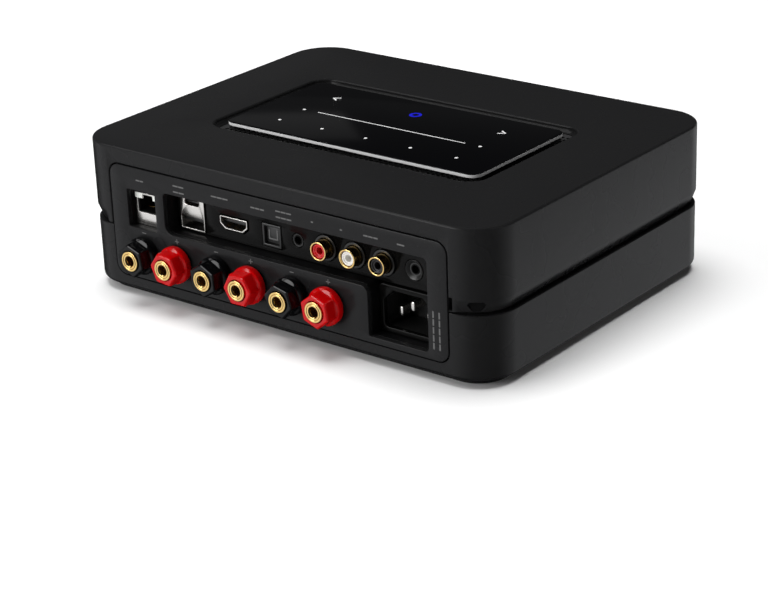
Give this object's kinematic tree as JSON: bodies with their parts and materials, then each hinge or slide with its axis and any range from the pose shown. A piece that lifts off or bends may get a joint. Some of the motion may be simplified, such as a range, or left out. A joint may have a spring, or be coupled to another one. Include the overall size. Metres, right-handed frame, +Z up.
{
  "type": "streaming amplifier",
  "caption": "Low rounded-box streaming amplifier with a floating touch glass in a top recess and, on the rear, binding posts, a socket row and a mains inlet.",
  "frame": {"origin": "centre of the base pad's underside, on the surface the object stands on", "axes": "+X along the long side, +Y out of the rear where the sockets are, +Z up"},
  "size_m": [0.22, 0.1791, 0.0683],
  "materials": {
    "shell": "fine bead-blasted, dark grey anodised",
    "panel": "fine matt, dark grey like the shell",
    "pad": "matt black",
    "black": "satin black",
    "plate": "smooth dark grey",
    "glass": "polished, black behind, bright satin edge",
    "gold": "gold plated, polished",
    "steel": "bright",
    "nickel": "bright nickel plated",
    "aluminium": "bare, extruded",
    "cap_red": "clear red, polished",
    "cap_black": "black, polished",
    "insert_red": "red",
    "white": "off-white",
    "board": "glass-fibre board with green solder mask",
    "winding": "ferrite core and windings under yellow tape"
  },
  "bodies": {
    "chassis": {"aux_jack": "black", "base_pad": "pad", "case_screw_1": "steel", "case_screw_2": "steel", "case_screw_3": "steel", "case_screw_4": "steel", "heat_sink": "aluminium", "ir_jack": "black", "lan_contacts": "gold", "lan_jack": "nickel", "lan_well": "black", "lower_shell": "shell", "main_board": "board", "mains_inlet": "plate", "mains_pin_earth": "nickel", "mains_pin_line": "nickel", "mains_pin_neutral": "nickel", "optical_jack": "black", "parting_band": "black", "port_plate": "plate", "port_well": "black", "post_stud_1": "gold", "post_stud_2": "gold", "post_stud_3": "gold", "post_stud_4": "gold", "post_stud_5": "gold", "post_stud_6": "gold", "power_board": "board", "rca_barrel_1": "gold", "rca_barrel_2": "gold", "rca_barrel_3": "gold", "rca_block": "black", "rca_insert_1": "insert_red", "rca_insert_2": "white", "rca_insert_3": "black", "rear_panel": "panel", "touch_glass": "glass", "touch_pedestal": "black", "transformer": "winding", "upper_shell": "shell", "usb_a_tongue": "black", "usb_c_tongue": "black", "usb_stack": "nickel", "vent_tray": "shell", "video_jack": "nickel", "video_tongue": "black"},
    "post_lift_1": {"post_collar_1": "steel"},
    "post_cap_1": {"post_cap_1": "cap_black"},
    "post_lift_2": {"post_collar_2": "steel"},
    "post_cap_2": {"post_cap_2": "cap_red"},
    "post_lift_3": {"post_collar_3": "steel"},
    "post_cap_3": {"post_cap_3": "cap_black"},
    "post_lift_4": {"post_collar_4": "steel"},
    "post_cap_4": {"post_cap_4": "cap_red"},
    "post_lift_5": {"post_collar_5": "steel"},
    "post_cap_5": {"post_cap_5": "cap_black"},
    "post_lift_6": {"post_collar_6": "steel"},
    "post_cap_6": {"post_cap_6": "cap_red"},
    "optical_door": {"optical_shutter": "black"}
  },
  "joints": [
    {"name": "post_slide_1", "type": "slide", "parent": "chassis", "child": "post_lift_1", "axis": [0, 1, 0], "range_m": [0, 0.005]},
    {"name": "post_turn_1", "type": "hinge", "parent": "post_lift_1", "child": "post_cap_1", "pos_m": [0.0722, 0.08435, 0.0211], "axis": [0, 1, 0], "range_deg": [0, 1800]},
    {"name": "post_slide_2", "type": "slide", "parent": "chassis", "child": "post_lift_2", "axis": [0, 1, 0], "range_m": [0, 0.005]},
    {"name": "post_turn_2", "type": "hinge", "parent": "post_lift_2", "child": "post_cap_2", "pos_m": [0.053, 0.08435, 0.0211], "axis": [0, 1, 0], "range_deg": [0, 1800]},
    {"name": "post_slide_3", "type": "slide", "parent": "chassis", "child": "post_lift_3", "axis": [0, 1, 0], "range_m": [0, 0.005]},
    {"name": "post_turn_3", "type": "hinge", "parent": "post_lift_3", "child": "post_cap_3", "pos_m": [0.0307, 0.08435, 0.0211], "axis": [0, 1, 0], "range_deg": [0, 1800]},
    {"name": "post_slide_4", "type": "slide", "parent": "chassis", "child": "post_lift_4", "axis": [0, 1, 0], "range_m": [0, 0.005]},
    {"name": "post_turn_4", "type": "hinge", "parent": "post_lift_4", "child": "post_cap_4", "pos_m": [0.0115, 0.08435, 0.0211], "axis": [0, 1, 0], "range_deg": [0, 1800]},
    {"name": "post_slide_5", "type": "slide", "parent": "chassis", "child": "post_lift_5", "axis": [0, 1, 0], "range_m": [0, 0.005]},
    {"name": "post_turn_5", "type": "hinge", "parent": "post_lift_5", "child": "post_cap_5", "pos_m": [-0.0108, 0.08435, 0.0211], "axis": [0, 1, 0], "range_deg": [0, 1800]},
    {"name": "post_slide_6", "type": "slide", "parent": "chassis", "child": "post_lift_6", "axis": [0, 1, 0], "range_m": [0, 0.005]},
    {"name": "post_turn_6", "type": "hinge", "parent": "post_lift_6", "child": "post_cap_6", "pos_m": [-0.03, 0.08435, 0.0211], "axis": [0, 1, 0], "range_deg": [0, 1800]},
    {"name": "optical_door_hinge", "type": "hinge", "parent": "chassis", "child": "optical_door", "pos_m": [0.0061, 0.07475, 0.0439], "axis": [-1, 0, 0], "range_deg": [0, 80], "stiffness_Nm_per_rad": 0.0002, "springref_deg": -20.05}
  ],
  "couplings": [
    {"joint": "post_turn_1", "follows": "post_slide_1", "rad_per_m": 6283.2},
    {"joint": "post_turn_2", "follows": "post_slide_2", "rad_per_m": 6283.2},
    {"joint": "post_turn_3", "follows": "post_slide_3", "rad_per_m": 6283.2},
    {"joint": "post_turn_4", "follows": "post_slide_4", "rad_per_m": 6283.2},
    {"joint": "post_turn_5", "follows": "post_slide_5", "rad_per_m": 6283.2},
    {"joint": "post_turn_6", "follows": "post_slide_6", "rad_per_m": 6283.2}
  ]
}
